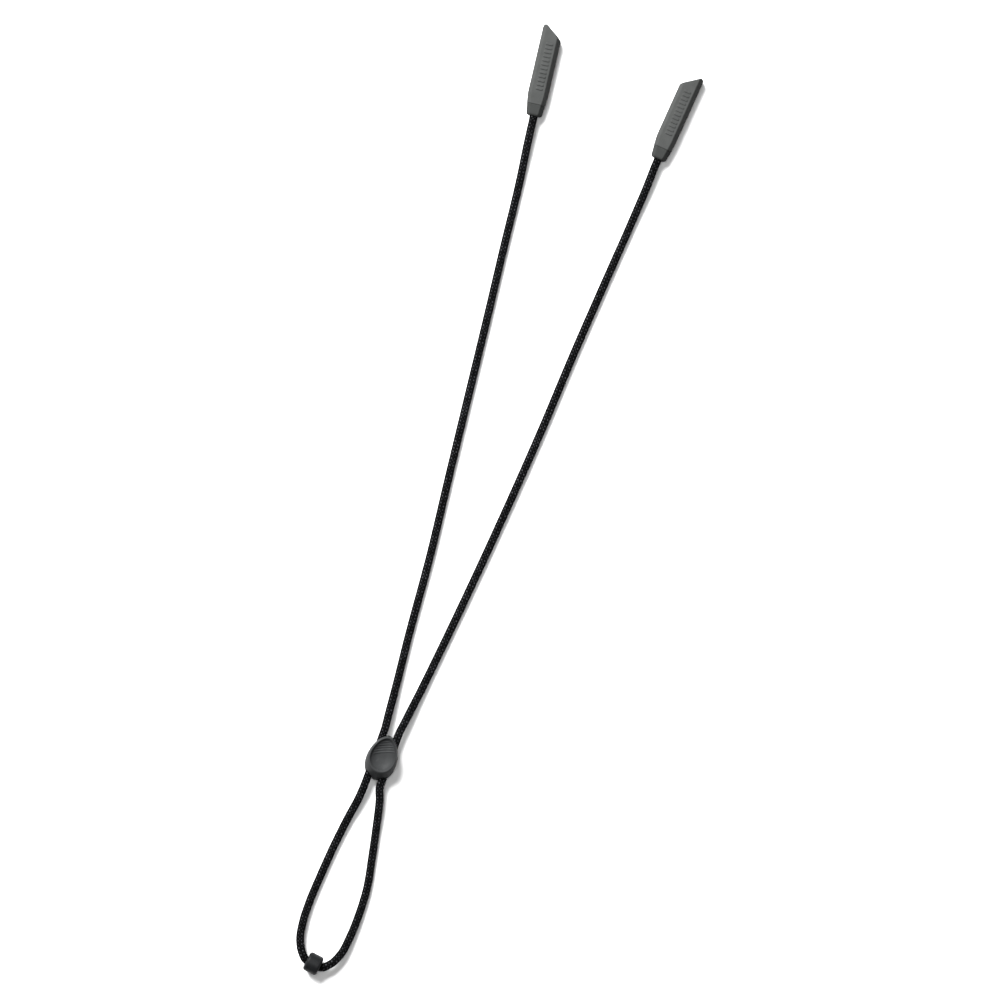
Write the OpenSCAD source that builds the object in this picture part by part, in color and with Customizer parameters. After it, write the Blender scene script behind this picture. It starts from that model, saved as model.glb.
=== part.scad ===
// Eyewear retainer: two rubber temple sleeves on one braided cord, drawn
// together by an egg-shaped slider, with a stop bead at the end of the loop.
// Millimetres. The retainer lies flat on Z = 0, the sleeves point to +Y and
// the origin is the middle of the slider's underside.

/* [Cord] */
// diameter of the round braided cord
cord_d = 3.0; // [2.6:0.1:3.1]

/* [Slider] */
// width of the slider at its widest
slider_w = 12.1; // [11.6:0.1:14]
// length of the slider along the cord
slider_l = 18.0; // [16.4:0.2:18.8]
// height of the slider from the table to its rim
slider_h = 8.4; // [8:0.1:9.6]
// depth of the thumb dish below the rim
dish_depth = 1.9; // [0.6:0.1:2]

/* [Temple sleeves] */
// width of a sleeve at its mouth
sleeve_w = 8.0; // [7.6:0.1:9]
// height of a sleeve
sleeve_h = 6.4; // [6:0.1:7]
// length of a sleeve from the cord end to its long tip
sleeve_l = 36.2; // [32:0.2:44]
// slant of the mouth, away from a square cut
mouth_deg = 37; // [20:1:40]
// diameter of the socket for the temple tip
socket_d = 3.8; // [3:0.1:4.2]

/* [Stop bead] */
// diameter of the stop bead
bead_d = 7.6; // [6.4:0.1:8]
// length of the stop bead along the cord
bead_l = 5.7; // [4.4:0.1:6.4]

/* [Hidden] */
$fn = 96;
cord_r = cord_d / 2;
lie = cord_r + 0.05;            // height of the cord's centre on the table
hole_x = 2.85;                  // slider holes, either side of the middle
hole_z = 3.6;
hole_r = cord_r + 0.1;
mouth_y = 9.6;                  // where the cord is handed over at the slider
sleeve_z = sleeve_h / 2;
cap_l = 4.4;
spigot_r = 2.35;
spigot_l = 2.0;
pocket_r = 2.4;
pocket_end = 10.4;
ferrule_l = 3.3;
socket_start = 11.8;
sleeve_off = 0.25;              // the cord's hole is this much right of a sleeve's middle
left_exit = [-29.7, 252, sleeve_z];
left_turn = 6.9;
right_exit = [20.9, 252.75, sleeve_z];
right_turn = -4.3;
bead_c = [2.15, -83.3, bead_d / 2];
bead_turn = -7.5;

// routes of the free cord, in round numbers
left_route = [
    [-hole_x, mouth_y, hole_z], [-3.5, 17, 3.1], [-4.7, 30, 1.9], [-6.3, 45, lie],
    [-9.4, 80, lie], [-12.9, 110, lie], [-16.3, 140, lie], [-19.9, 172, lie],
    [-23.2, 200, lie], [-26.4, 228, 1.8], [-28.3, 241, 2.7], left_exit];
right_route = [
    [hole_x, mouth_y, hole_z], [3.6, 17, 3.1], [5.2, 30, 1.9], [6.8, 45, lie],
    [10.1, 80, lie], [12.5, 110, lie], [14.5, 140, lie], [16.1, 172, lie],
    [17.9, 200, lie], [19.8, 228, 1.8], [20.5, 241, 2.7], right_exit];
left_loop_route = [
    [-hole_x, -mouth_y, hole_z], [-3.2, -17, 3.0], [-4.5, -26, 1.9], [-5.8, -37, lie],
    [-6.8, -50, lie], [-7.4, -62, 1.7], [-7.1, -70, 2.2], [-5.6, -77, 3.0],
    [-3.2, -81, 3.55], bead_face(-1)];
right_loop_route = [
    [hole_x, -mouth_y, hole_z], [4.7, -16, 3.1], [7.0, -26, 1.9], [9.3, -37, lie],
    [11.7, -50, lie], [12.2, -60, 1.7], [11.9, -69, 2.2], [10.6, -77, 3.0],
    [8.2, -81.5, 3.5], bead_face(1)];

function bead_face(s) = [
    bead_c[0] + s * bead_l / 2 * cos(bead_turn),
    bead_c[1] + s * bead_l / 2 * sin(bead_turn), bead_c[2]];
function unit(v) = v / norm(v);
function heading(a) = [-sin(a), cos(a), 0];

// direction of a route at point i, with stated directions at both ends
function way(r, i, t0, t1) =
    i == 0 ? t0 : i == len(r) - 1 ? t1 :
    let (a = r[i] - r[i - 1], b = r[i + 1] - r[i], la = norm(a), lb = norm(b))
    unit(a / la * lb + b / lb * la);

// stations [point, direction] along a route from point i0 to point i1
function stations(r, i0, i1, t0, t1, step) = [
    for (i = [i0 : i1 - 1])
        let (p = r[i], q = r[i + 1], l = norm(q - p),
             a = way(r, i, t0, t1) * l, b = way(r, i + 1, t0, t1) * l,
             n = max(1, round(l / step)))
        for (j = [0 : (i == i1 - 1 ? n : n - 1)])
            let (u = j / n, uu = u * u, uuu = uu * u)
            [p * (2 * uuu - 3 * uu + 1) + a * (uuu - 2 * uu + u)
                + q * (3 * uu - 2 * uuu) + b * (uuu - uu),
             unit(u == 0 ? a : u == 1 ? b :
                p * (6 * uu - 6 * u) + a * (3 * uu - 4 * u + 1)
                + q * (6 * u - 6 * uu) + b * (3 * uu - 2 * u))]];

// ring of a tube, turning the same way at every station
function tube_ring(s, r, n) =
    let (w = unit(cross([0, 0, 1], s[1])), h = cross(s[1], w))
    [for (k = [0 : n - 1]) let (a = (k + 0.5) * 360 / n)
        s[0] + r * (cos(a) * w + sin(a) * h)];

// closed skin over a list of rings with the same number of points
module skin(rings) {
    n = len(rings[0]);
    m = len(rings);
    polyhedron(
        points = [for (ring = rings) for (p = ring) p],
        faces = concat(
            [for (i = [1 : n - 2]) [0, i, i + 1]],
            [for (i = [1 : n - 2]) [(m - 1) * n, (m - 1) * n + i + 1, (m - 1) * n + i]],
            [for (j = [0 : m - 2]) for (i = [0 : n - 1])
                [j * n + i, (j + 1) * n + i, (j + 1) * n + (i + 1) % n]],
            [for (j = [0 : m - 2]) for (i = [0 : n - 1])
                [j * n + i, (j + 1) * n + (i + 1) % n, j * n + (i + 1) % n]]),
        convexity = 6);
}

module cord_run(r, i0, i1, t0, t1, step = 8.6) {
    color([0.05, 0.05, 0.06])
    skin([for (s = stations(r, i0, i1, t0, t1, step)) tube_ring(s, cord_r, 8)]);
}

// egg outline: a and b are its half width and half length, wide end at -Y
function egg(a, b, cy, z, cx = 0, n = 48) = [
    for (k = [0 : n - 1]) let (t = k * 360 / n)
        [cx + a * cos(t) * (1 - 0.17 * sin(t)), cy + b * sin(t), z]];

// rounded box section across Y: left and right reach, half height, corner radius
function section(l, r, h, c, y) = [
    for (q = [[-l, h, 180], [r, h, 90], [r, -h, 0], [-l, -h, 270]])
        for (k = [0 : 5]) let (a = q[2] - k * 18)
            [q[0] - sign(q[0]) * c + c * cos(a), y, q[1] - sign(q[1]) * c + c * sin(a)]];

// ---------------------------------------------------------------- slider
module slider_body() {
    a = slider_w / 2 / 1.015;
    b = slider_l / 2;
    h = slider_h;
    d = dish_depth;
    color([0.22, 0.23, 0.24])
    difference() {
        skin([
            egg(a * 0.62, b * 0.66, 0, 0),
            egg(a * 0.74, b * 0.77, 0, 0.25),
            egg(a * 0.84, b * 0.86, 0, 0.8),
            egg(a * 0.93, b * 0.94, 0, 1.8),
            egg(a * 0.985, b * 0.985, 0, 2.9),
            egg(a, b, 0, 4.0),
            egg(a * 0.985, b * 0.975, 0.1, 5.0, 0.02),
            egg(a * 0.95, b * 0.925, 0.3, h - 2.3, 0.08),
            egg(a * 0.9, b * 0.85, 0.7, h - 1.2, 0.2),
            egg(a * 0.85, b * 0.785, 1.05, h - 0.4, 0.28),
            egg(a * 0.825, b * 0.75, 1.2, h - 0.1, 0.33),
            egg(a * 0.795, b * 0.715, 1.3, h, 0.35),
            egg(a * 0.76, b * 0.68, 1.35, h - 0.12, 0.35),
            egg(a * 0.7, b * 0.63, 1.35, h - d * 0.32, 0.35),
            egg(a * 0.59, b * 0.54, 1.35, h - d * 0.57, 0.35),
            egg(a * 0.44, b * 0.41, 1.35, h - d * 0.8, 0.35),
            egg(a * 0.23, b * 0.21, 1.35, h - d * 0.96, 0.35),
            egg(a * 0.06, b * 0.06, 1.35, h - d, 0.35)]);
        for (x = [-hole_x, hole_x])
            translate([x, 0, hole_z]) rotate([90, 0, 0])
                cylinder(h = slider_l + 4, r = hole_r, center = true);
    }
}

module slider_run(x) {
    color([0.05, 0.05, 0.06])
    skin([for (y = [-mouth_y, 0, mouth_y])
        tube_ring([[x, y, hole_z], [0, 1, 0]], cord_r, 8)]);
}
module left_slider_run() { slider_run(-hole_x); }
module right_slider_run() { slider_run(hole_x); }

// ---------------------------------------------------------------- strands
module left_strand_root() { cord_run(left_route, 0, 3, [0, 1, 0], heading(left_turn)); }
module left_strand() { cord_run(left_route, 3, 11, [0, 1, 0], heading(left_turn)); }
module right_strand_root() { cord_run(right_route, 0, 3, [0, 1, 0], heading(right_turn)); }
module right_strand() { cord_run(right_route, 3, 11, [0, 1, 0], heading(right_turn)); }

// ---------------------------------------------------------------- loop
module left_loop() {
    cord_run(left_loop_route, 0, 9, [0, -1, 0],
        [cos(bead_turn), sin(bead_turn), 0], 7.5);
}
module right_loop() {
    cord_run(right_loop_route, 0, 9, [0, -1, 0],
        [-cos(bead_turn), -sin(bead_turn), 0], 7.5);
}
module loop_bead() {
    r = bead_d / 2;
    l = bead_l / 2;
    c = 0.8;
    color([0.17, 0.17, 0.18])
    translate(bead_c) rotate([0, 0, bead_turn]) rotate([0, 90, 0])
        rotate_extrude()
            polygon(concat(
                [[cord_r + 0.02, -l], [r - c, -l]],
                [for (k = [1 : 6]) [r - c + c * sin(k * 15), -l + c - c * cos(k * 15)]],
                [for (k = [0 : 5]) [r - c + c * cos(k * 15), l - c + c * sin(k * 15)]],
                [[r - c, l], [cord_r + 0.02, l]]));
}
module bead_run() {
    color([0.05, 0.05, 0.06])
    translate(bead_c) rotate([0, 0, bead_turn]) rotate([0, 90, 0])
        cylinder(h = bead_l, r = cord_r, center = true);
}

// ---------------------------------------------------------------- temple sleeves
// Each sleeve is drawn along +Y from its cord end, then laid in place.
module lay_left() { translate(left_exit) rotate([0, 0, left_turn]) children(); }
module lay_right() { translate(right_exit) rotate([0, 0, right_turn]) children(); }

// side is -1 with the long tip on the left and 1 with it on the right
module sleeve(side) {
    w = sleeve_w / 2;
    h = sleeve_h / 2;
    o = sleeve_off;
    rise = w * tan(mouth_deg);
    color([0.42, 0.43, 0.42])
    difference() {
        skin([
            section(w + o - 0.6, w - o - 0.18, h - 0.28, 1.3, cap_l),
            section(w + o - 0.5, w - o - 0.14, h - 0.2, 1.4, cap_l + 0.4),
            section(w + o - 0.12, w - o - 0.03, h - 0.08, 1.5, 7.6),
            section(w + o, w - o, h, 1.6, 10),
            section(w + o, w - o, h, 1.6, sleeve_l + 2)]);
        translate([0, sleeve_l - rise, 0]) rotate([0, 0, side * mouth_deg])
            translate([-20, 0, -10]) cube([40, 20, 20]);
        rotate([-90, 0, 0]) translate([0, 0, socket_start])
            cylinder(h = 40, r = socket_d / 2);
        rotate([-90, 0, 0]) translate([0, 0, cap_l - 1])
            cylinder(h = pocket_end - cap_l + 1, r = pocket_r);
    }
}
module end_cap() {
    w = sleeve_w / 2;
    h = sleeve_h / 2;
    o = sleeve_off;
    color([0.38, 0.39, 0.38])
    difference() {
        union() {
            skin([
                section(w + o - 1.9, w - o - 1.25, h - 1.3, 0.9, 0),
                section(w + o - 1.4, w - o - 0.8, h - 0.85, 1.1, 0.3),
                section(w + o - 1.1, w - o - 0.55, h - 0.62, 1.2, 0.9),
                section(w + o - 0.66, w - o - 0.23, h - 0.34, 1.25, cap_l)]);
            rotate([-90, 0, 0]) translate([0, 0, 1])
                cylinder(h = cap_l + spigot_l - 1, r = spigot_r);
        }
        rotate([-90, 0, 0]) translate([0, 0, -1])
            cylinder(h = cap_l + spigot_l + 2, r = cord_r + 0.05);
    }
}
module ferrule() {
    color([0.75, 0.65, 0.4])
    rotate([-90, 0, 0]) translate([0, 0, cap_l + spigot_l + 0.2])
        difference() {
            cylinder(h = ferrule_l, r = pocket_r - 0.1);
            translate([0, 0, -1]) cylinder(h = ferrule_l + 2, r = cord_r + 0.02);
        }
}
module cord_tail() {
    color([0.05, 0.05, 0.06])
    rotate([-90, 0, 0]) cylinder(h = cap_l + spigot_l + 0.2 + ferrule_l, r = cord_r);
}
module left_sleeve() { lay_left() sleeve(-1); }
module left_end_cap() { lay_left() end_cap(); }
module left_ferrule() { lay_left() ferrule(); }
module left_cord_tail() { lay_left() cord_tail(); }
module right_sleeve() { lay_right() sleeve(1); }
module right_end_cap() { lay_right() end_cap(); }
module right_ferrule() { lay_right() ferrule(); }
module right_cord_tail() { lay_right() cord_tail(); }

slider_body();
left_slider_run();
right_slider_run();
left_strand_root();
left_strand();
right_strand_root();
right_strand();
left_loop();
right_loop();
loop_bead();
bead_run();
left_sleeve();
left_end_cap();
left_ferrule();
left_cord_tail();
right_sleeve();
right_end_cap();
right_ferrule();
right_cord_tail();
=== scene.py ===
import math

import bpy
import bmesh
import numpy as np
from mathutils import Matrix, Vector


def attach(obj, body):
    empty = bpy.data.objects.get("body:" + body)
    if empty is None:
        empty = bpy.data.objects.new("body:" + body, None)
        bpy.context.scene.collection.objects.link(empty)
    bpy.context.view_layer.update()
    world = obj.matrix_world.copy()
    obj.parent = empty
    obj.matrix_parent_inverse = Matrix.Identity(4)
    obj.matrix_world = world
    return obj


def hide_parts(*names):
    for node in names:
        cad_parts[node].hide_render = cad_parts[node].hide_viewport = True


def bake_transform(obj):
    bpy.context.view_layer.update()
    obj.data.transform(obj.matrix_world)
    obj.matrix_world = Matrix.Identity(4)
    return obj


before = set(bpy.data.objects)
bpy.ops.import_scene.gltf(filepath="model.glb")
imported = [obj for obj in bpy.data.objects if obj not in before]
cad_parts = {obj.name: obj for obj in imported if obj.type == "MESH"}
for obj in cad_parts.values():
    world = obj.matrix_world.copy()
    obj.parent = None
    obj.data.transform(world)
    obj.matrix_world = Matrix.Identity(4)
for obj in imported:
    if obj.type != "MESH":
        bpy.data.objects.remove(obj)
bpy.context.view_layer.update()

MM = 0.001

# ------------------------------------------------------------------ camera
# Straight down on the retainer as it lies, rolled so that it leans to the right.
ROLL = 20.0
VIEW_X, VIEW_Y = 8.64, 108.8          # mm, what the frame's middle looks at
VIEW_W = 385.0                        # mm across the frame at the cord's height
CAM_H = 1750.0
cam_data = bpy.data.cameras.new("camera")
cam = bpy.data.objects.new("camera", cam_data)
bpy.context.scene.collection.objects.link(cam)
cam_data.sensor_width = 36.0
cam_data.lens = 36.0 * (CAM_H - 2.0) / VIEW_W
cam_data.clip_start = 0.05
cam_data.clip_end = 50.0
cam.location = (VIEW_X * MM, VIEW_Y * MM, CAM_H * MM)
cam.rotation_euler = (0, 0, math.radians(ROLL))
bpy.context.scene.camera = cam


# ------------------------------------------------------------------ helpers
def mesh_obj(name, verts, faces, smooth=True, uvs=None):
    me = bpy.data.meshes.new(name)
    verts = np.asarray(verts, np.float64)
    me.from_pydata((verts * MM).tolist(), [], [list(map(int, f)) for f in faces])
    me.update()
    if uvs is not None:
        layer = me.uv_layers.new(name="UVMap")
        layer.data.foreach_set("uv", np.asarray(uvs, np.float32).ravel())
    if smooth:
        me.polygons.foreach_set("use_smooth", [True] * len(me.polygons))
    ob = bpy.data.objects.new(name, me)
    bpy.context.scene.collection.objects.link(ob)
    return ob


def outward(ob):
    bm = bmesh.new()
    bm.from_mesh(ob.data)
    bmesh.ops.recalc_face_normals(bm, faces=bm.faces)
    bm.to_mesh(ob.data)
    bm.free()
    return ob


def sharp_by_angle(ob, deg=38):
    me = ob.data
    bm = bmesh.new()
    bm.from_mesh(me)
    lim = math.radians(deg)
    for e in bm.edges:
        e.smooth = not (len(e.link_faces) == 2 and e.calc_face_angle(0) > lim)
    bm.to_mesh(me)
    bm.free()
    me.polygons.foreach_set("use_smooth", [True] * len(me.polygons))
    me.update()


def lerp(a, b, t):
    return a + (b - a) * t


def smooth(t):
    t = np.clip(t, 0, 1)
    return t * t * (3 - 2 * t)


def ring_faces(m, n, start=0, flip=False):
    """Quads between m rings of n points, rings one after another."""
    out = []
    for j in range(m - 1):
        a, b = start + j * n, start + (j + 1) * n
        for i in range(n):
            k = (i + 1) % n
            q = (a + i, a + k, b + k, b + i)
            out.append(q[::-1] if flip else q)
    return out


# ------------------------------------------------------------------ materials
def new_mat(name):
    m = bpy.data.materials.new(name)
    m.use_nodes = True
    nt = m.node_tree
    for n in list(nt.nodes):
        nt.nodes.remove(n)
    out = nt.nodes.new("ShaderNodeOutputMaterial")
    b = nt.nodes.new("ShaderNodeBsdfPrincipled")
    nt.links.new(b.outputs[0], out.inputs[0])
    return m, nt, b


class N:
    """Small helper for node math."""

    def __init__(self, nt):
        self.nt = nt

    def node(self, kind, **props):
        n = self.nt.nodes.new(kind)
        for k, v in props.items():
            setattr(n, k, v)
        return n

    def link(self, a, b):
        self.nt.links.new(a, b)

    def math(self, op, a, b=None, c=None, clamp=False):
        n = self.nt.nodes.new("ShaderNodeMath")
        n.operation = op
        n.use_clamp = clamp
        for i, v in enumerate((a, b, c)):
            if v is None:
                continue
            if isinstance(v, (int, float)):
                n.inputs[i].default_value = v
            else:
                self.nt.links.new(v, n.inputs[i])
        return n.outputs[0]

    def ramp(self, fac, stops):
        n = self.nt.nodes.new("ShaderNodeValToRGB")
        e = n.color_ramp.elements
        while len(e) < len(stops):
            e.new(0.5)
        for el, (p, c) in zip(e, stops):
            el.position = p
            el.color = (*c, 1.0) if len(c) == 3 else c
        self.nt.links.new(fac, n.inputs[0])
        return n.outputs[0]

    def noise(self, vec, scale, detail=3.0, rough=0.55):
        n = self.nt.nodes.new("ShaderNodeTexNoise")
        n.inputs["Scale"].default_value = scale
        n.inputs["Detail"].default_value = detail
        n.inputs["Roughness"].default_value = rough
        if vec is not None:
            self.nt.links.new(vec, n.inputs["Vector"])
        return n.outputs[0]

    def voronoi(self, vec, scale):
        n = self.nt.nodes.new("ShaderNodeTexVoronoi")
        n.inputs["Scale"].default_value = scale
        if vec is not None:
            self.nt.links.new(vec, n.inputs["Vector"])
        return n.outputs[0]

    def bump(self, height, strength, distance, normal=None):
        n = self.nt.nodes.new("ShaderNodeBump")
        n.inputs["Strength"].default_value = strength
        n.inputs["Distance"].default_value = distance
        self.nt.links.new(height, n.inputs["Height"])
        if normal is not None:
            self.nt.links.new(normal, n.inputs["Normal"])
        return n.outputs[0]

    def coord(self, which="Object"):
        n = self.nt.nodes.new("ShaderNodeTexCoord")
        return n.outputs[which]


BRAID_N = 7            # yarns each way round the cord
BRAID_P = 1.35         # mm along the cord from one yarn to the next


def braid_material():
    m, nt, b = new_mat("cord_braid")
    h = N(nt)
    uv = nt.nodes.new("ShaderNodeUVMap")
    uv.uv_map = "UVMap"
    sep = nt.nodes.new("ShaderNodeSeparateXYZ")
    h.link(uv.outputs[0], sep.inputs[0])
    u, v = sep.outputs[0], sep.outputs[1]
    a = h.math("ADD", u, v)
    c = h.math("SUBTRACT", u, v)
    i = h.math("ROUND", a)
    j = h.math("ROUND", c)
    da = h.math("SUBTRACT", a, i)
    dc = h.math("SUBTRACT", c, j)
    over_a = h.math("COSINE", h.math("MULTIPLY", h.math("ADD", i, c), math.pi))
    over_c = h.math("COSINE", h.math("MULTIPLY", h.math("ADD", j, a), math.pi))
    ha = h.math("SUBTRACT", h.math("MULTIPLY", over_a, 0.45), h.math("MULTIPLY", h.math("MULTIPLY", da, da), 4.0))
    hc = h.math("SUBTRACT", h.math("MULTIPLY", over_c, -0.45), h.math("MULTIPLY", h.math("MULTIPLY", dc, dc), 4.0))
    mask = h.math("GREATER_THAN", ha, hc)
    top = h.math("MAXIMUM", ha, hc)
    # filaments run along each yarn, with a slight twist
    fil_a = h.math("SINE", h.math("MULTIPLY", h.math("ADD", da, h.math("MULTIPLY", c, 0.035)), 2 * math.pi * 9))
    fil_c = h.math("SINE", h.math("MULTIPLY", h.math("ADD", dc, h.math("MULTIPLY", a, 0.035)), 2 * math.pi * 9))
    mixf = nt.nodes.new("ShaderNodeMix")
    mixf.data_type = "FLOAT"
    h.link(mask, mixf.inputs[0])
    h.link(fil_c, mixf.inputs[2])
    h.link(fil_a, mixf.inputs[3])
    fil = mixf.outputs[0]
    # each yarn a slightly different black, fibres a little uneven
    obj = h.coord("Object")
    slow = h.noise(obj, 90.0, 2.0)
    fine = h.noise(obj, 5200.0, 3.0, 0.7)
    combo = nt.nodes.new("ShaderNodeCombineXYZ")
    h.link(h.math("MULTIPLY", i, 0.731), combo.inputs[0])
    h.link(h.math("MULTIPLY", j, 0.417), combo.inputs[1])
    cell = nt.nodes.new("ShaderNodeTexWhiteNoise")
    cell.noise_dimensions = "2D"
    h.link(combo.outputs[0], cell.inputs["Vector"])
    # colour: crests lighter and the gaps between yarns near-black, which is painted shade in the gaps, plus random tone
    # per yarn and in the fibres
    yarn_tone_and_painted_shade = h.math("ADD", h.math("MULTIPLY", top, 1.25), 0.33, clamp=True)
    # painted highlight: yarns of one lay (mask) are made lighter than those of the other lay, as where light catches
    # them
    yarn_tone_and_painted_shade = h.math("ADD", yarn_tone_and_painted_shade, h.math("SUBTRACT", h.math("MULTIPLY", mask, 0.22), 0.19))
    yarn_tone_and_painted_shade = h.math("ADD", yarn_tone_and_painted_shade, h.math("MULTIPLY", fil, 0.09))
    yarn_tone_and_painted_shade = h.math("ADD", yarn_tone_and_painted_shade, h.math("MULTIPLY", h.math("SUBTRACT", cell.outputs[0], 0.5), 0.26))
    yarn_tone_and_painted_shade = h.math("ADD", yarn_tone_and_painted_shade, h.math("MULTIPLY", h.math("SUBTRACT", slow, 0.5), 0.16))
    yarn_tone_and_painted_shade = h.math("ADD", yarn_tone_and_painted_shade, h.math("MULTIPLY", h.math("SUBTRACT", fine, 0.5), 0.18), clamp=True)
    # the ramp runs from near-black in the gaps (painted shade) up to the lighter crests
    col = h.ramp(yarn_tone_and_painted_shade, [(0.0, (0.0001, 0.0001, 0.0001)), (0.38, (0.0003, 0.0003, 0.0004)), (0.58, (0.0013, 0.0014, 0.0016)), (0.72, (0.0145, 0.0149, 0.0162)), (1.0, (0.046, 0.047, 0.052))])
    h.link(col, b.inputs["Base Color"])
    rough = h.math("ADD", h.math("MULTIPLY", fine, 0.2), 0.50)
    h.link(rough, b.inputs["Roughness"])
    hgt = h.math("ADD", h.math("MULTIPLY", top, 0.5), h.math("ADD", h.math("MULTIPLY", fil, 0.22), h.math("MULTIPLY", fine, 0.25)))
    h.link(h.bump(hgt, 0.6, 0.00010), b.inputs["Normal"])
    b.inputs["Specular IOR Level"].default_value = 0.02
    return m


def rubber_material(name, base, dark, seed=0.0):
    m, nt, b = new_mat(name)
    h = N(nt)
    obj = h.coord("Object")
    mp = nt.nodes.new("ShaderNodeMapping")
    mp.inputs["Location"].default_value = (seed, seed * 1.7, seed * 0.3)
    h.link(obj, mp.inputs["Vector"])
    vec = mp.outputs[0]
    blot = h.noise(vec, 260.0, 4.0, 0.6)
    grain = h.noise(vec, 9000.0, 2.0, 0.6)
    pores = h.voronoi(vec, 6200.0)
    tone = h.math("ADD", h.math("MULTIPLY", blot, 0.55), h.math("MULTIPLY", grain, 0.45), clamp=True)
    col = h.ramp(tone, [(0.28, dark), (0.5, base), (0.74, tuple(min(1, x * 1.16) for x in base))])
    # painted highlight: convex edges, found by pointiness, are mixed a little lighter
    geo = nt.nodes.new("ShaderNodeNewGeometry")
    edge = h.ramp(geo.outputs["Pointiness"], [(0.50, (0, 0, 0)), (0.56, (1, 1, 1))])
    painted_edge_highlight_mix = nt.nodes.new("ShaderNodeMix")
    painted_edge_highlight_mix.data_type = "RGBA"
    h.link(h.math("MULTIPLY", edge, 0.08), painted_edge_highlight_mix.inputs[0])
    h.link(col, painted_edge_highlight_mix.inputs[6])
    # colour of the painted edge highlight
    painted_edge_highlight_mix.inputs[7].default_value = (*[x * 1.7 for x in base], 1)
    h.link(painted_edge_highlight_mix.outputs[2], b.inputs["Base Color"])
    rough = h.math("ADD", h.math("MULTIPLY", blot, 0.18), 0.50)
    h.link(rough, b.inputs["Roughness"])
    hgt = h.math("ADD", h.math("MULTIPLY", grain, 0.7), h.math("MULTIPLY", pores, 0.35))
    h.link(h.bump(hgt, 0.26, 0.00004), b.inputs["Normal"])
    b.inputs["Specular IOR Level"].default_value = 0.012
    return m


def plastic_material(name, base, dark, rough0=0.36, grain_k=0.25, seed=0.0):
    m, nt, b = new_mat(name)
    h = N(nt)
    obj = h.coord("Object")
    mp = nt.nodes.new("ShaderNodeMapping")
    mp.inputs["Location"].default_value = (seed, seed * 0.7, seed * 1.3)
    h.link(obj, mp.inputs["Vector"])
    vec = mp.outputs[0]
    blot = h.noise(vec, 330.0, 4.0, 0.6)
    spark = h.noise(vec, 7000.0, 2.0, 0.6)
    scuff = nt.nodes.new("ShaderNodeTexNoise")
    mp2 = nt.nodes.new("ShaderNodeMapping")
    mp2.inputs["Scale"].default_value = (0.25, 3.0, 1.0)
    mp2.inputs["Rotation"].default_value = (0, 0, 0.5)
    h.link(obj, mp2.inputs["Vector"])
    h.link(mp2.outputs[0], scuff.inputs["Vector"])
    scuff.inputs["Scale"].default_value = 1500.0
    scuff.inputs["Detail"].default_value = 2.0
    tone = h.math("ADD", h.math("MULTIPLY", blot, 0.6), h.math("MULTIPLY", spark, 0.4), clamp=True)
    col = h.ramp(tone, [(0.3, dark), (0.52, base), (0.75, tuple(min(1, x * 1.25) for x in base))])
    # painted highlight: convex edges, found by pointiness, are mixed lighter towards a brighter colour
    geo = nt.nodes.new("ShaderNodeNewGeometry")
    edge = h.ramp(geo.outputs["Pointiness"], [(0.50, (0, 0, 0)), (0.57, (1, 1, 1))])
    painted_edge_highlight_mix = nt.nodes.new("ShaderNodeMix")
    painted_edge_highlight_mix.data_type = "RGBA"
    h.link(h.math("MULTIPLY", edge, 0.22), painted_edge_highlight_mix.inputs[0])
    h.link(col, painted_edge_highlight_mix.inputs[6])
    painted_edge_highlight_mix.inputs[7].default_value = (*[x * 2.0 for x in base], 1)
    h.link(painted_edge_highlight_mix.outputs[2], b.inputs["Base Color"])
    rough = h.math("ADD", h.math("MULTIPLY", scuff.outputs[0], 0.16), h.math("ADD", h.math("MULTIPLY", blot, 0.12), rough0))
    h.link(rough, b.inputs["Roughness"])
    h.link(h.bump(h.math("ADD", spark, h.math("MULTIPLY", scuff.outputs[0], 0.3)), grain_k, 0.00003), b.inputs["Normal"])
    b.inputs["Specular IOR Level"].default_value = 0.06
    return m


def brass_material():
    m, nt, b = new_mat("ferrule_brass")
    h = N(nt)
    obj = h.coord("Object")
    g = h.noise(obj, 4000.0, 3.0)
    col = h.ramp(g, [(0.3, (0.45, 0.31, 0.12)), (0.7, (0.68, 0.5, 0.22))])
    h.link(col, b.inputs["Base Color"])
    h.link(h.math("ADD", h.math("MULTIPLY", g, 0.2), 0.22), b.inputs["Roughness"])
    b.inputs["Metallic"].default_value = 1.0
    h.link(h.bump(g, 0.2, 0.00003), b.inputs["Normal"])
    return m


MAT_CORD = braid_material()
MAT_SLEEVE = rubber_material("sleeve_rubber", (0.0306, 0.0317, 0.0310), (0.0240, 0.0250, 0.0243))
MAT_CAP = rubber_material("cap_rubber", (0.0205, 0.0214, 0.0209), (0.0160, 0.0168, 0.0164), 3.1)
MAT_SLIDER = plastic_material("slider_plastic", (0.0168, 0.0175, 0.0179), (0.0125, 0.0132, 0.0136), 0.44)
MAT_BEAD = plastic_material("bead_plastic", (0.0052, 0.0055, 0.0059), (0.0036, 0.0038, 0.0041), 0.32, 0.3, 2.3)
MAT_BRASS = brass_material()

# ------------------------------------------------------------------ cord
# The routes are those of part.scad, in mm.
CORD_D = 3.0
HX, HZ, MY = 2.85, 3.6, 9.6
LIE = CORD_D / 2 + 0.05
SZ = 3.2
L_EXIT, L_TURN = (-29.7, 252.0, SZ), 6.9
R_EXIT, R_TURN = (20.9, 252.75, SZ), -4.3
BEAD_C, BEAD_TURN, BEAD_L, BEAD_D = (2.15, -83.3, 3.8), -7.5, 5.7, 7.6


def heading(a):
    a = math.radians(a)
    return np.array([-math.sin(a), math.cos(a), 0.0])


def bead_dir():
    a = math.radians(BEAD_TURN)
    return np.array([math.cos(a), math.sin(a), 0.0])


def bead_face(s):
    return tuple(np.array(BEAD_C) + s * BEAD_L / 2 * bead_dir())


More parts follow.
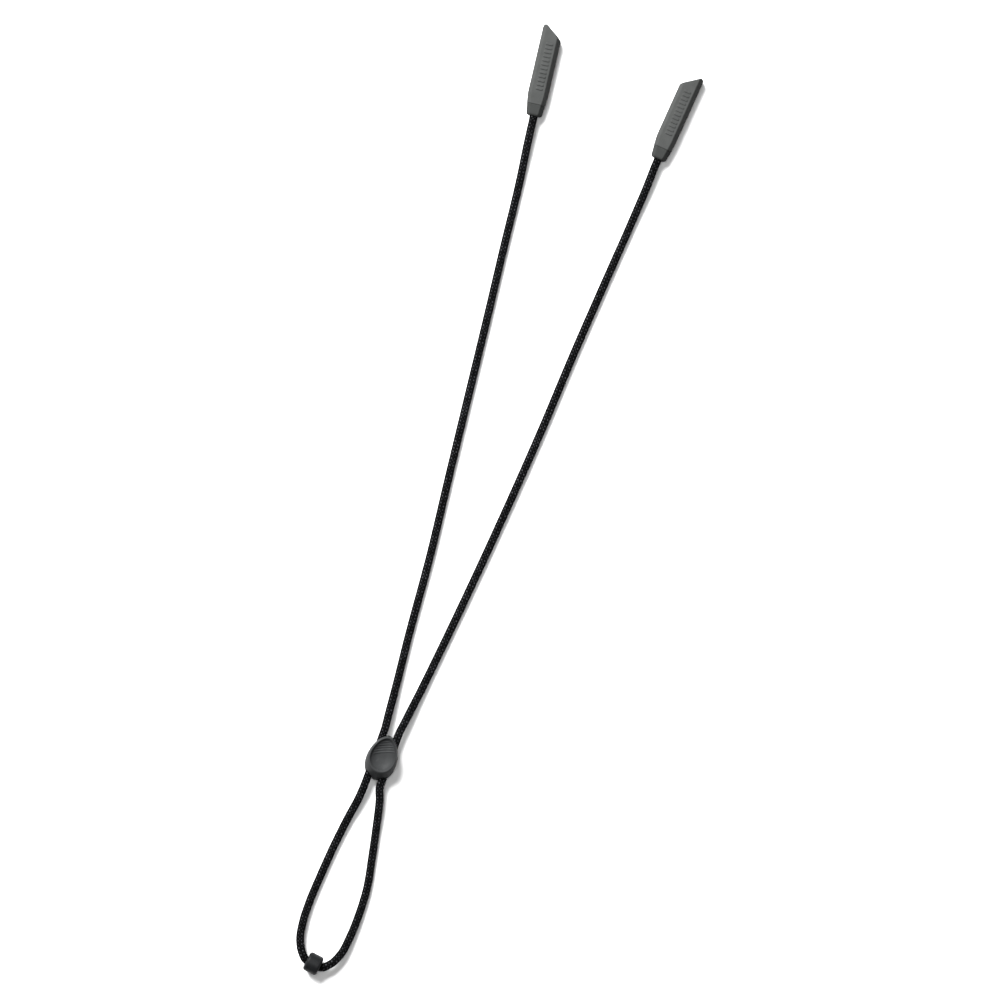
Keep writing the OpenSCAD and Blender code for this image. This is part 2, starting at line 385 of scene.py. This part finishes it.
LEFT = [(-HX, MY, HZ), (-3.5, 17, 3.1), (-4.7, 30, 1.9), (-6.3, 45, LIE), (-9.4, 80, LIE),
        (-12.9, 110, LIE), (-16.3, 140, LIE), (-19.9, 172, LIE), (-23.2, 200, LIE),
        (-26.4, 228, 1.8), (-28.3, 241, 2.7), L_EXIT]
RIGHT = [(HX, MY, HZ), (3.6, 17, 3.1), (5.2, 30, 1.9), (6.8, 45, LIE), (10.1, 80, LIE),
         (12.5, 110, LIE), (14.5, 140, LIE), (16.1, 172, LIE), (17.9, 200, LIE),
         (19.8, 228, 1.8), (20.5, 241, 2.7), R_EXIT]
L_LOOP = [(-HX, -MY, HZ), (-3.2, -17, 3.0), (-4.5, -26, 1.9), (-5.8, -37, LIE), (-6.8, -50, LIE),
          (-7.4, -62, 1.7), (-7.1, -70, 2.2), (-5.6, -77, 3.0), (-3.2, -81, 3.55), bead_face(-1)]
R_LOOP = [(HX, -MY, HZ), (4.7, -16, 3.1), (7.0, -26, 1.9), (9.3, -37, LIE), (11.7, -50, LIE),
          (12.2, -60, 1.7), (11.9, -69, 2.2), (10.6, -77, 3.0), (8.2, -81.5, 3.5), bead_face(1)]


def unit(v):
    return v / np.linalg.norm(v)


def way(r, i, t0, t1):
    if i == 0:
        return np.array(t0, float)
    if i == len(r) - 1:
        return np.array(t1, float)
    a, b = r[i] - r[i - 1], r[i + 1] - r[i]
    la, lb = np.linalg.norm(a), np.linalg.norm(b)
    return unit(a / la * lb + b / lb * la)


def smooth_route(r, i0, i1, t0, t1, k=60):
    """Dense points and directions along the same curve as the CAD tube."""
    r = [np.array(p, float) for p in r]
    P, T = [], []
    for i in range(i0, i1):
        p, q = r[i], r[i + 1]
        ln = np.linalg.norm(q - p)
        a, b = way(r, i, t0, t1) * ln, way(r, i + 1, t0, t1) * ln
        for j in range(k + (1 if i == i1 - 1 else 0)):
            u = j / k
            P.append(p * (2 * u**3 - 3 * u * u + 1) + a * (u**3 - 2 * u * u + u) + q * (3 * u * u - 2 * u**3) + b * (u**3 - u * u))
            T.append(unit(p * (6 * u * u - 6 * u) + a * (3 * u * u - 4 * u + 1) + q * (6 * u - 6 * u * u) + b * (3 * u * u - 2 * u)))
    return np.array(P), np.array(T)


def resample(P, T, step):
    d = np.linalg.norm(np.diff(P, axis=0), axis=1)
    s = np.concatenate([[0], np.cumsum(d)])
    n = max(2, int(round(s[-1] / step)))
    t = np.linspace(0, s[-1], n + 1)
    Q = np.stack([np.interp(t, s, P[:, k]) for k in range(3)], 1)
    D = np.stack([np.interp(t, s, T[:, k]) for k in range(3)], 1)
    D /= np.linalg.norm(D, axis=1)[:, None]
    return Q, D, t


AROUND = 70
STEP = BRAID_P / 8
RELIEF = 0.30          # mm, from a yarn's crest down to the gap beside it
CREST = 1.60           # mm, radius at the crests


def braid_height(u, v):
    a, c = u + v, u - v
    i, j = np.round(a), np.round(c)
    da, dc = a - i, c - j
    ha = 0.45 * np.cos(np.pi * (i + c)) - 4.0 * da**2
    hc = -0.45 * np.cos(np.pi * (j + a)) - 4.0 * dc**2
    top = np.maximum(ha, hc)                    # about -0.55 .. 0.45
    return np.clip((top + 0.75) / 1.2, 0, 1)


def cord_mesh(name, P, T, s0, mat):
    """A braided tube along P: every yarn stands out of the surface where it passes over the others."""
    Q, D, t = resample(P, T, STEP)
    m = len(Q)
    W = np.cross(np.array([0, 0, 1.0]), D)
    W /= np.linalg.norm(W, axis=1)[:, None]
    H = np.cross(D, W)
    k = np.arange(AROUND)
    th = 2 * np.pi * k / AROUND
    u = k / AROUND * BRAID_N - 0.25
    v = (s0 + t) / BRAID_P
    h = braid_height(u[None, :], v[:, None])
    r = CREST - RELIEF * (1 - h) ** 1.15
    V = (Q[:, None, :] + r[:, :, None] * (np.cos(th)[None, :, None] * W[:, None, :] + np.sin(th)[None, :, None] * H[:, None, :]))
    V[:, :, 2] = np.maximum(V[:, :, 2], 0.0)
    verts = V.reshape(-1, 3)
    j, i = np.meshgrid(np.arange(m - 1), k, indexing="ij")
    i2 = (i + 1) % AROUND
    F = np.stack([j * AROUND + i, j * AROUND + i2, (j + 1) * AROUND + i2, (j + 1) * AROUND + i], -1).reshape(-1, 4)
    uu = np.stack([i, i + 1, i + 1, i], -1).reshape(-1, 4) / AROUND * BRAID_N - 0.25
    vv = v[np.stack([j, j, j + 1, j + 1], -1).reshape(-1, 4)]
    # flat ends
    n = len(verts)
    verts = np.vstack([verts, Q[0], Q[-1]])
    caps, cuv = [], []
    for a in range(AROUND):
        b = (a + 1) % AROUND
        caps.append((b, a, n))
        cuv += [(0, v[0]), (0, v[0]), (0, v[0])]
        caps.append(((m - 1) * AROUND + a, (m - 1) * AROUND + b, n + 1))
        cuv += [(0, v[-1]), (0, v[-1]), (0, v[-1])]
    me = bpy.data.meshes.new(name)
    nq, ntri = len(F), len(caps)
    me.vertices.add(len(verts))
    me.vertices.foreach_set("co", (verts * MM).astype(np.float32).ravel())
    loops = np.concatenate([F.ravel(), np.array(caps).ravel()])
    me.loops.add(len(loops))
    me.loops.foreach_set("vertex_index", loops.astype(np.int32))
    me.polygons.add(nq + ntri)
    starts = np.concatenate([np.arange(nq) * 4, nq * 4 + np.arange(ntri) * 3])
    me.polygons.foreach_set("loop_start", starts.astype(np.int32))
    me.update(calc_edges=True)
    me.validate()
    layer = me.uv_layers.new(name="UVMap")
    uvs = np.concatenate([np.stack([uu, vv], -1).reshape(-1, 2), np.array(cuv, float)])
    layer.data.foreach_set("uv", uvs.astype(np.float32).ravel())
    smooth = np.ones(nq + ntri, bool)
    smooth[nq:] = False
    me.polygons.foreach_set("use_smooth", smooth)
    me.update()
    ob = bpy.data.objects.new(name, me)
    bpy.context.scene.collection.objects.link(ob)
    me.materials.append(mat)
    return ob, Q, s0 + t[-1], t[-1]


def one_side(tag, strand, loop, turn, sgn, bd):
    """The whole cord on one side, from the bead's face to the end cap, cut where its motion changes."""
    hx = sgn * HX
    P, T = smooth_route(loop, 0, len(loop) - 1, (0, -1, 0), bd)
    P, T = P[::-1], -T[::-1]
    s = 0.0
    lp, q_loop, s, l_loop = cord_mesh(tag + "_loop_cord", P, T, s, MAT_CORD)
    P = np.array([(hx, y, HZ) for y in np.linspace(-MY, MY, 40)])
    T = np.tile([0, 1.0, 0], (40, 1))
    run, _, s, _ = cord_mesh(tag + "_slider_cord", P, T, s, MAT_CORD)
    P, T = smooth_route(strand, 0, 3, (0, 1, 0), heading(turn))
    root, q_root, s, l_root = cord_mesh(tag + "_root_cord", P, T, s, MAT_CORD)
    P, T = smooth_route(strand, 3, len(strand) - 1, (0, 1, 0), heading(turn))
    st, q_st, s, l_st = cord_mesh(tag + "_strand_cord", P, T, s, MAT_CORD)

    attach(run, "slider")
    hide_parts(tag + "_slider_run")
    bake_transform(root)
    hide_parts(tag + "_strand_root")
    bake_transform(st)
    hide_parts(tag + "_strand")
    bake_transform(lp)
    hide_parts(tag + "_loop")

    def line(q):
        keep = np.unique(np.concatenate([np.arange(0, len(q), 8), [len(q) - 1]]))
        return [tuple(x) for x in (q[keep] * MM)]

    return l_loop, l_root, l_st


lens_l = one_side("left", LEFT, L_LOOP, L_TURN, -1, tuple(bead_dir()))
lens_r = one_side("right", RIGHT, R_LOOP, R_TURN, 1, tuple(-bead_dir()))
print("cord mm, loop/root/strand:", [round(x, 1) for x in lens_l + lens_r], "free total", round(sum(lens_l + lens_r), 1))


# ------------------------------------------------------------------ slider
def egg(a, b, cy, z, n, cx=0.0, k=0.17):
    t = np.arange(n) * 2 * np.pi / n
    c, s = np.cos(t), np.sin(t)
    return np.stack([cx + a * c * (1 - k * s), cy + b * s, np.full(n, z)], 1)


def catmull(rows, per):
    rows = np.array(rows, float)
    out = []
    m = len(rows)
    for i in range(m - 1):
        p0, p1, p2, p3 = rows[max(i - 1, 0)], rows[i], rows[i + 1], rows[min(i + 2, m - 1)]
        for j in range(per):
            u = j / per
            out.append(0.5 * (2 * p1 + (p2 - p0) * u + (2 * p0 - 5 * p1 + 4 * p2 - p3) * u * u + (3 * p1 - p0 - 3 * p2 + p3) * u**3))
    out.append(rows[-1])
    return np.array(out)


def cut(ob, tool):
    mod = ob.modifiers.new("cut", "BOOLEAN")
    mod.operation = "DIFFERENCE"
    mod.solver = "EXACT"
    mod.object = tool
    dg = bpy.context.evaluated_depsgraph_get()
    me = bpy.data.meshes.new_from_object(ob.evaluated_get(dg))
    ob.modifiers.clear()
    old = ob.data
    ob.data = me
    bpy.data.meshes.remove(old)
    bpy.data.objects.remove(tool, do_unlink=True)


def make_slider():
    A, B, Hh, dish = 12.1 / 2 / 1.015, 9.0, 8.4, 1.9
    prof = [
        (0.62, 0.66, 0, 0, 0), (0.74, 0.77, 0, 0.25, 0), (0.84, 0.86, 0, 0.8, 0), (0.93, 0.94, 0, 1.8, 0),
        (0.985, 0.992, 0, 2.8, 0), (1.0, 0.986, 0.12, 3.7, 0), (0.988, 0.93, 0.56, 5.0, 0.0),
        (0.955, 0.876, 0.95, Hh - 2.1, 0.0), (0.912, 0.826, 1.27, Hh - 1.0, 0.03), (0.872, 0.79, 1.46, Hh - 0.32, 0.06),
        (0.846, 0.764, 1.56, Hh - 0.06, 0.09), (0.818, 0.738, 1.66, Hh, 0.11), (0.785, 0.708, 1.74, Hh - 0.13, 0.12),
        (0.715, 0.645, 1.76, Hh - dish * 0.36, 0.12), (0.60, 0.545, 1.72, Hh - dish * 0.61, 0.14),
        (0.44, 0.41, 1.6, Hh - dish * 0.83, 0.17), (0.23, 0.21, 1.5, Hh - dish * 0.97, 0.2),
        (0.03, 0.03, 1.4, Hh - dish, 0.2)]
    rows = catmull(prof, 8)
    n = 180
    rings = [egg(A * a, B * b, cy, max(z, 0.0), n, cx) for a, b, cy, z, cx in rows]
    m = len(rings)
    verts = np.vstack(rings + [np.array([[0, rows[0][2], 0.0]]), np.array([[rows[-1][4], rows[-1][2], rows[-1][3]]])])
    faces = ring_faces(m, n)
    base, tip = m * n, m * n + 1
    for i in range(n):
        k = (i + 1) % n
        faces.append((k, i, base))
        faces.append(((m - 1) * n + i, (m - 1) * n + k, tip))
    # fine curved ribs across the upper half of the dish, for the thumb
    body = m * n
    idx = np.arange(body)
    dish_pt = idx // n >= (len(prof) - 6) * 8
    v = verts[:body]
    px, py = v[:, 0] - 0.12, v[:, 1] - 1.76
    ct, st = math.cos(math.radians(24)), math.sin(math.radians(24))
    e = np.hypot(px / (0.715 * A), py / (0.64 * B))
    q = np.hypot((px * ct + py * st) * 0.55, -px * st + py * ct + 8.0)
    wave = smooth(np.cos((q - 7.0) * 2 * np.pi / 0.95) * 0.5 + 0.5)
    zone = smooth((0.95 - e) / 0.10) * smooth((q - 8.2) / 0.5)
    v[:, 2] += np.where(dish_pt, 0.15 * wave * zone, 0)
    verts[:body] = v
    ob = outward(mesh_obj("slider_shell", verts, faces))
    for sgn in (-1, 1):
        ys = np.concatenate([np.linspace(-12, -6.4, 20), [-3, 0, 3], np.linspace(6.4, 12, 20)])
        rr = 1.68 + 0.13 * np.clip(np.abs(ys) - 6.6, 0, 9) ** 1.35
        k = 64
        th = np.arange(k) * 2 * np.pi / k
        tv = np.vstack([np.stack([sgn * HX + r * np.cos(th), np.full(k, y), HZ + r * np.sin(th)], 1) for y, r in zip(ys, rr)])
        tf = ring_faces(len(ys), k)
        tf.append(tuple(range(k - 1, -1, -1)))
        tf.append(tuple(range((len(ys) - 1) * k, len(ys) * k)))
        tool = outward(mesh_obj("tool", tv, tf))
        cut(ob, tool)
    sharp_by_angle(ob, 42)
    ob.data.materials.clear()
    ob.data.materials.append(MAT_SLIDER)
    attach(ob, "slider")
    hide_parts("slider_body")
    return ob


make_slider()


# ------------------------------------------------------------------ stop bead
def make_bead():
    r, l, c, bore = BEAD_D / 2, BEAD_L / 2, 0.95, 1.63
    prof = [(bore, 0.0), (bore, -l + 0.3)]
    prof += [(bore + 0.3 * (1 - math.cos(a)), -l + 0.3 * (1 - math.sin(a))) for a in np.linspace(0.1, math.pi / 2, 6)]
    prof += [(x, -l) for x in np.linspace(bore + 0.5, r - c, 6)]
    prof += [(r - c + c * math.sin(a), -l + c - c * math.cos(a)) for a in np.linspace(0.12, math.pi / 2, 12)]
    half = prof[1:]
    crown = [(r, x) for x in np.linspace(-l + c, l - c, 12)[1:-1]]
    prof = half + crown + [(p, -q) for p, q in half[::-1]]
    k = 96
    th = np.arange(k) * 2 * np.pi / k
    ax = bead_dir()
    side = np.cross([0, 0, 1.0], ax)
    verts = np.vstack([
        np.array(BEAD_C) + q * ax + p * (np.cos(th)[:, None] * side + np.sin(th)[:, None] * np.array([0, 0, 1.0]))
        for p, q in prof])
    verts[:, 2] = np.maximum(verts[:, 2], 0)
    m = len(prof)
    faces = ring_faces(m, k)
    for i in range(k):
        j = (i + 1) % k
        faces.append(((m - 1) * k + i, (m - 1) * k + j, j, i))
    ob = outward(mesh_obj("stop_bead", verts, faces))
    ob.data.materials.append(MAT_BEAD)
    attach(ob, "loop_end")
    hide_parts("loop_bead")


make_bead()

# ------------------------------------------------------------------ temple sleeves
SW, SH, SL, MOUTH = 8.0, 6.4, 36.2, 37.0
OFF = 0.25             # the cord's hole is this much right of a sleeve's middle
CAP_L = 4.4


def outline(l, r, h, inset=0.0):
    """Section of a sleeve: u to the right, z up. A narrow chamfer on the left, a wider and softer one on the right."""
    l, r, h = l - inset, r - inset, h - inset
    cl, cr, cz = 1.12 - inset * 0.35, 1.66 - inset * 0.35, 2.05 - inset * 0.5
    hz = h * 0.12
    V = np.array([(-l + cl, h), (-l, h - cz), (-l, -h + cz), (-l + cl, -h), (r - cr, -h), (r - 0.03, -hz), (r, -hz * 0.4), (r, hz * 0.4),
                  (r - 0.03, hz), (r - cr, h)], float)
    fil = [0.55, 0.6, 0.6, 0.6, 0.5, 0.9, 0.9, 0.9, 0.9, 0.42]
    flats = [12, 8, 12, 16, 14, 6, 4, 6, 14, 46]
    n = len(V)
    arcs, pts = [], []
    for i in range(n):
        p, a, b = V[i], V[i - 1], V[(i + 1) % n]
        da, db = unit(a - p), unit(b - p)
        ang = math.acos(np.clip(da @ db, -1, 1))
        f = max(fil[i] - 0.3 * inset, 0.15)
        cl_ = min(f / math.tan(ang / 2), 0.45 * np.linalg.norm(a - p), 0.45 * np.linalg.norm(b - p))
        rad = cl_ * math.tan(ang / 2)
        c = p + unit(da + db) * rad / math.sin(ang / 2)
        s, e = p + da * cl_, p + db * cl_
        a0, a1 = math.atan2(*(s - c)[::-1]), math.atan2(*(e - c)[::-1])
        dlt = (a1 - a0 + math.pi) % (2 * math.pi) - math.pi
        arcs.append([c + rad * np.array([math.cos(a0 + dlt * t), math.sin(a0 + dlt * t)]) for t in np.linspace(0, 1, 8)])
    for i in range(n):
        pts += arcs[i]
        s, e = arcs[i][-1], arcs[(i + 1) % n][0]
        k = flats[i]
        pts += [s + (e - s) * t for t in np.linspace(0, 1, k + 2)[1:-1]]
    return np.array(pts)


def sleeve_dims(s):
    """Left reach, right reach and half height of the sleeve at s mm from its cord end."""
    w, h = SW / 2, SH / 2
    tl = np.clip((s - 1.0) / 7.6, 0, 1)
    tr = np.clip((s - 0.8) / 6.8, 0, 1)
    return (w + OFF - 1.08 * (1 - tl) ** 1.18, w - OFF - 0.56 * (1 - tr) ** 1.12, h - 0.5 * (1 - tr) ** 1.3)


def grip(u, s):
    """Height of the row of plain raised bars on the front face."""
    out = np.zeros_like(u)
    for k in range(12):
        c = 10.4 + k * 1.6
        du = np.maximum(np.abs(u + 0.25) - 0.95, 0)
        ds = np.abs(s - c)
        d = np.hypot(du, ds)
        out = np.maximum(out, smooth((0.50 - d) / 0.20))
    return out


def place(verts, exit_, turn):
    a = math.radians(turn)
    x, y, z = verts[:, 0], verts[:, 1], verts[:, 2]
    return np.stack([exit_[0] + x * math.cos(a) - y * math.sin(a), exit_[1] + x * math.sin(a) + y * math.cos(a), exit_[2] + z], 1)


def make_sleeve(tag, side, exit_, turn):
    slope = math.tan(math.radians(MOUTH)) * side
    mid = SL - SW / 2 * math.tan(math.radians(MOUTH))
    rim = 0.42
    fl, fr, fh = sleeve_dims(40)

    def sec(s, inset=0.0):
        return outline(*sleeve_dims(s), inset)

    def end_at(u):
        """How far the slanted mouth reaches at u, with both of its corners rounded."""
        line = mid + u * slope
        k = math.hypot(1, slope)
        for edge, sg, rr in ((-fl, -1, 1.0), (fr, 1, 1.0)):
            uc = edge - sg * rr
            yc = mid + uc * slope - rr * k
            ut = uc - rr * slope / k
            on = (u - ut) * sg > 0
            line = np.where(on, yc + np.sqrt(np.maximum(rr * rr - (u - uc) ** 2, 0)), line)
        return line

    def ring(o, y):
        return np.stack([o[:, 0], y if np.ndim(y) else np.full(len(o), y), o[:, 1]], 1)

    rings = []
    # cord end: a small rounded shoulder above the cap
    for ph in np.linspace(0, math.pi / 2, 6):
        rings.append(ring(sec(CAP_L + 0.28, 0.26 * (1 - math.sin(ph))), CAP_L + 0.03 + 0.25 * (1 - math.cos(ph))))
    s_lin = np.concatenate([np.arange(CAP_L + 0.4, 8.8, 0.15), np.arange(8.8, 29.2, 0.1)])
    s_lin = s_lin[s_lin < mid - 4.6]
    for s in s_lin:
        rings.append(ring(sec(s), s))
    s0 = s_lin[-1]
    o = sec(40)
    for t in np.linspace(0, 1, 40)[1:]:
        rings.append(ring(o, s0 + (end_at(o[:, 0]) - rim - s0) * t))
    k_out = len(rings) * len(o)
    for ph in np.linspace(0, math.pi / 2, 9)[1:]:
        oi = sec(40, rim * (1 - math.cos(ph)))
        rings.append(ring(oi, end_at(oi[:, 0]) - rim + rim * math.sin(ph)))
    outer_last = rings[-1].copy()
    ang = np.arctan2(outer_last[:, 2], outer_last[:, 0])
    bore = 1.9

    def circ(r, y):
        return np.stack([r * np.cos(ang), np.zeros(len(ang)) + y, r * np.sin(ang)], 1)

    c1 = circ(bore + 0.3, 0)
    for t in np.linspace(0, 1, 9)[1:]:
        p = lerp(outer_last, c1, t)
        p[:, 1] = end_at(p[:, 0])
        rings.append(p)
    for ph in np.linspace(0, math.pi / 2, 7)[1:]:
        p = circ(bore + 0.3 * (1 - math.sin(ph)), 0)
        p[:, 1] = mid + p[:, 0] * slope - 0.3 * (1 - math.cos(ph))
        rings.append(p)
    last = rings[-1]
    for t in np.linspace(0, 1, 16)[1:]:
        p = circ(bore, 0)
        p[:, 1] = last[:, 1] + (11.8 - last[:, 1]) * t
        rings.append(p)
    for r in (1.4, 0.8, 0.2):
        rings.append(circ(r, 11.8))
    n, m = len(ang), len(rings)
    verts = np.vstack(rings)
    v = verts[:k_out]
    front = (v[:, 2] > SH / 2 - 0.6) & (np.abs(v[:, 0] + 0.3) < 1.7)
    v[front, 2] += 0.28 * grip(v[front, 0], v[front, 1])
    top = v[:, 2] > SH / 2 - 0.9
    v[top, 2] -= 0.06 * ((v[top, 0] + OFF) / 4.0) ** 2
    verts[:k_out] = v
    faces = ring_faces(m, n)
    tip = len(verts)
    verts = np.vstack([verts, [[0, 11.8, 0]]])
    for i in range(n):
        faces.append(((m - 1) * n + i, (m - 1) * n + (i + 1) % n, tip))
    # inside of the cord end: pocket for the cap's spigot and the ferrule
    a0 = np.arctan2(rings[0][:, 2], rings[0][:, 0])
    base = len(verts)
    inner = []
    for r, y in ((2.4, CAP_L + 0.03), (2.4, 7.4), (2.4, 10.4), (1.6, 10.4), (0.2, 10.4)):
        inner.append(np.stack([r * np.cos(a0), np.full(n, y), r * np.sin(a0)], 1))
    verts = np.vstack([verts] + inner + [[[0, 10.4, 0]]])
    for i in range(n):
        k = (i + 1) % n
        faces.append((i, k, base + k, base + i))
        faces.append((base + 4 * n + i, base + 4 * n + k, base + 5 * n))
    faces += ring_faces(5, n, base)
    verts[:, 2] = np.maximum(verts[:, 2], -SH / 2)
    ob = outward(mesh_obj(tag + "_sleeve_rubber", place(verts, exit_, turn), faces))
    sharp_by_angle(ob, 50)
    ob.data.materials.append(MAT_SLEEVE)
    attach(ob, tag + "_temple_end")
    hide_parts(tag + "_sleeve")

    # end cap: the collar below the step, with a rounded end and the cord's hole
    rings = []

    def csec(s, inset=0.0):
        return outline(*sleeve_dims(s), 0.05 + inset)

    for y, ins in ((CAP_L, 0.22), (CAP_L - 0.05, 0.12), (CAP_L - 0.13, 0.04), (CAP_L - 0.24, 0.0)):
        rings.append(ring(csec(CAP_L, ins), y))
    for y in np.linspace(CAP_L - 0.4, 1.05, 20):
        rings.append(ring(csec(y), y))
    for ph in np.linspace(0, math.pi / 2, 12)[1:]:
        rings.append(ring(csec(1.05 * (1 - math.sin(ph)), 0.95 * (1 - math.cos(ph))), 1.05 * (1 - math.sin(ph))))
    lastr = rings[-1].copy()
    an = np.arctan2(lastr[:, 2], lastr[:, 0])
    hole = 1.66
    c1 = np.stack([(hole + 0.2) * np.cos(an), np.zeros(len(an)), (hole + 0.2) * np.sin(an)], 1)
    for t in (0.35, 0.7, 1.0):
        rings.append(lerp(lastr, c1, t))
    for ph in np.linspace(0, math.pi / 2, 6)[1:]:
        r = hole + 0.2 * (1 - math.sin(ph))
        rings.append(np.stack([r * np.cos(an), np.full(len(an), 0.2 * (1 - math.cos(ph))), r * np.sin(an)], 1))
    for y in (2.5, 4.4, 6.3):
        rings.append(np.stack([hole * np.cos(an), np.full(len(an), y), hole * np.sin(an)], 1))
    for r, y in ((2.33, 6.35), (2.35, 6.2), (2.35, CAP_L)):
        rings.append(np.stack([r * np.cos(an), np.full(len(an), y), r * np.sin(an)], 1))
    m, n = len(rings), len(an)
    verts = np.vstack(rings)
    verts[:, 2] = np.maximum(verts[:, 2], -SH / 2)
    faces = ring_faces(m, n)
    for i in range(n):
        k = (i + 1) % n
        faces.append(((m - 1) * n + i, (m - 1) * n + k, k, i))
    ob = outward(mesh_obj(tag + "_cap_rubber", place(verts, exit_, turn), faces))
    sharp_by_angle(ob, 50)
    ob.data.materials.append(MAT_CAP)
    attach(ob, tag + "_temple_end")
    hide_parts(tag + "_end_cap")


make_sleeve("left", -1, L_EXIT, L_TURN)
make_sleeve("right", 1, R_EXIT, R_TURN)


# ------------------------------------------------------------------ CAD nodes that stay
def dress(node, mat):
    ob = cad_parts[node]
    ob.data.materials.clear()
    ob.data.materials.append(mat)


for t in ("left", "right"):
    dress(t + "_ferrule", MAT_BRASS)
    dress(t + "_cord_tail", MAT_CORD)
dress("bead_run", MAT_CORD)

# ------------------------------------------------------------------ floor and light
fm, nt, b = new_mat("floor")
hh = N(nt)
fn = hh.noise(hh.coord("Object"), 3.0, 2.0)
hh.link(hh.ramp(fn, [(0.3, (0.60, 0.60, 0.60)), (0.7, (0.63, 0.63, 0.63))]), b.inputs["Base Color"])
b.inputs["Roughness"].default_value = 0.8
b.inputs["Specular IOR Level"].default_value = 0.1
fl = mesh_obj("floor", [(-4000, -4000, -0.02), (4000, -4000, -0.02), (4000, 4000, -0.02), (-4000, 4000, -0.02)], [(0, 1, 2, 3)], smooth=False)
fl.data.materials.append(fm)


def area(name, loc, target, size, power, size_y=None):
    d = bpy.data.lights.new(name, "AREA")
    d.energy = power
    d.shape = "RECTANGLE"
    d.size = size
    d.size_y = size_y or size
    o = bpy.data.objects.new(name, d)
    bpy.context.scene.collection.objects.link(o)
    o.location = loc
    o.rotation_euler = (Vector(target) - Vector(loc)).to_track_quat("-Z", "Y").to_euler()
    return o


# up and left in the camera's frame
ru = Matrix.Rotation(math.radians(ROLL), 3, "Z")
up, rt = ru @ Vector((0, 1, 0)), ru @ Vector((1, 0, 0))
tgt = Vector((VIEW_X * MM, VIEW_Y * MM, 0))


def from_view(r, u, z):
    return tgt + rt * r + up * u + Vector((0, 0, z))


AZ, EL, DIST = math.radians(119), math.radians(45), 1.9
area("key", from_view(DIST * math.cos(EL) * math.cos(AZ), DIST * math.cos(EL) * math.sin(AZ), DIST * math.sin(EL)), tgt, 0.90, 186.0)
area("top", from_view(0, 0, 2.2), tgt, 1.0, 29.0)
world = bpy.data.worlds.new("world")
bpy.context.scene.world = world
world.use_nodes = True
world.node_tree.nodes["Background"].inputs[0].default_value = (1, 1, 1, 1)
world.node_tree.nodes["Background"].inputs[1].default_value = 0.07
bpy.context.scene.view_settings.view_transform = "Standard"
bpy.context.scene.view_settings.look = "None"
bpy.context.scene.view_settings.exposure = 0.0

# ------------------------------------------------------------------ end
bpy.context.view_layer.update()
